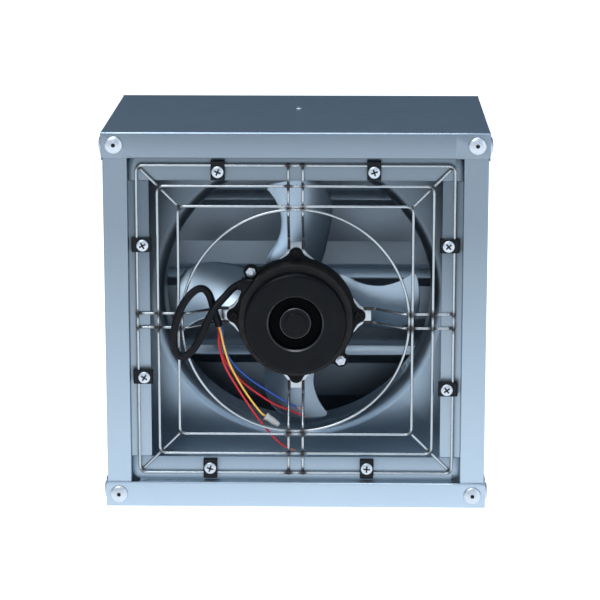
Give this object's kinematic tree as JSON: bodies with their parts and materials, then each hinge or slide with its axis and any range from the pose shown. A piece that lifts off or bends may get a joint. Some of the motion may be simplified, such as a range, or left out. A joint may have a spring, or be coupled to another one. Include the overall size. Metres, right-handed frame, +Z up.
{
  "type": "wall exhaust fan",
  "caption": "Square sheet-steel box fan with a welded wire guard that carries a direct-drive motor, a bladed impeller in a bell-mouth orifice and a gravity shutter.",
  "frame": {"origin": "middle of the underside of the casing, under the middle of its depth", "axes": "+X to the right seen from the guard side, +Y from the guard towards the shutter, +Z up"},
  "size_m": [0.4062, 0.2786, 0.4017],
  "materials": {
    "casing_steel": "galvanised sheet steel, satin",
    "zinc_wire": "zinc plated wire",
    "zinc_fixing": "bright zinc plated",
    "black_plastic": "black moulded plastic",
    "black_paint": "satin black paint",
    "lamination": "bare electrical steel",
    "bright_steel": "ground steel",
    "impeller_hub_steel": "galvanised steel",
    "blade_sheet": "bright galvanised sheet",
    "shutter_sheet": "galvanised sheet in shadow",
    "blue_insulation": "blue lead insulation",
    "red_insulation": "red lead insulation",
    "yellow_insulation": "orange-yellow lead insulation",
    "crimp_plastic": "white crimp cap"
  },
  "bodies": {
    "casing": {"top_panel": "casing_steel", "bottom_panel": "casing_steel", "left_panel": "casing_steel", "right_panel": "casing_steel", "orifice_plate": "casing_steel", "guard_squares": "zinc_wire", "guard_spokes": "zinc_wire", "corner_rivet_1": "zinc_fixing", "corner_rivet_2": "zinc_fixing", "corner_rivet_3": "zinc_fixing", "corner_rivet_4": "zinc_fixing", "side_rivet_1": "zinc_fixing", "side_rivet_2": "zinc_fixing", "side_rivet_3": "zinc_fixing", "side_rivet_4": "zinc_fixing", "top_rivet": "zinc_fixing", "guard_clip_1": "black_plastic", "guard_clip_2": "black_plastic", "guard_clip_3": "black_plastic", "guard_clip_4": "black_plastic", "guard_clip_5": "black_plastic", "guard_clip_6": "black_plastic", "guard_clip_7": "black_plastic", "guard_clip_8": "black_plastic", "motor_front_cap": "black_paint", "wound_stator": "lamination", "motor_rear_bell": "black_paint", "motor_bracket": "zinc_wire", "front_bearing": "bright_steel", "rear_bearing": "bright_steel", "ear_screw_1": "black_paint", "ear_screw_2": "black_paint", "ear_screw_3": "black_paint", "ear_screw_4": "black_paint", "tie_bolt_1": "zinc_fixing", "tie_bolt_2": "zinc_fixing", "shutter_channel_left": "casing_steel", "shutter_channel_right": "casing_steel", "cable_sheath": "black_plastic", "lead_blue": "blue_insulation", "lead_red_long": "red_insulation", "lead_red_short": "red_insulation", "lead_yellow": "yellow_insulation", "crimp_cap": "crimp_plastic"},
    "impeller": {"motor_shaft": "bright_steel", "rotor": "lamination", "impeller_hub": "impeller_hub_steel", "impeller_blade_1": "blade_sheet", "impeller_blade_2": "blade_sheet", "impeller_blade_3": "blade_sheet", "impeller_blade_4": "blade_sheet"},
    "louvre_1": {"louvre_blade_1": "shutter_sheet", "louvre_rod_1": "zinc_wire"},
    "louvre_2": {"louvre_blade_2": "shutter_sheet", "louvre_rod_2": "zinc_wire"},
    "louvre_3": {"louvre_blade_3": "shutter_sheet", "louvre_rod_3": "zinc_wire"},
    "louvre_4": {"louvre_blade_4": "shutter_sheet", "louvre_rod_4": "zinc_wire"}
  },
  "joints": [
    {"name": "impeller_spin", "type": "hinge", "parent": "casing", "child": "impeller", "pos_m": [0, 0, 0.2], "axis": [0, 1, 0], "continuous": true},
    {"name": "louvre_1_swing", "type": "hinge", "parent": "casing", "child": "louvre_1", "pos_m": [0, 0.11647, 0.37536], "axis": [1, 0, 0], "range_deg": [0, 75]},
    {"name": "louvre_2_swing", "type": "hinge", "parent": "casing", "child": "louvre_2", "pos_m": [0, 0.11647, 0.28499], "axis": [1, 0, 0], "range_deg": [0, 75]},
    {"name": "louvre_3_swing", "type": "hinge", "parent": "casing", "child": "louvre_3", "pos_m": [0, 0.11647, 0.19461], "axis": [1, 0, 0], "range_deg": [0, 75]},
    {"name": "louvre_4_swing", "type": "hinge", "parent": "casing", "child": "louvre_4", "pos_m": [0, 0.11647, 0.10424], "axis": [1, 0, 0], "range_deg": [0, 75]}
  ]
}
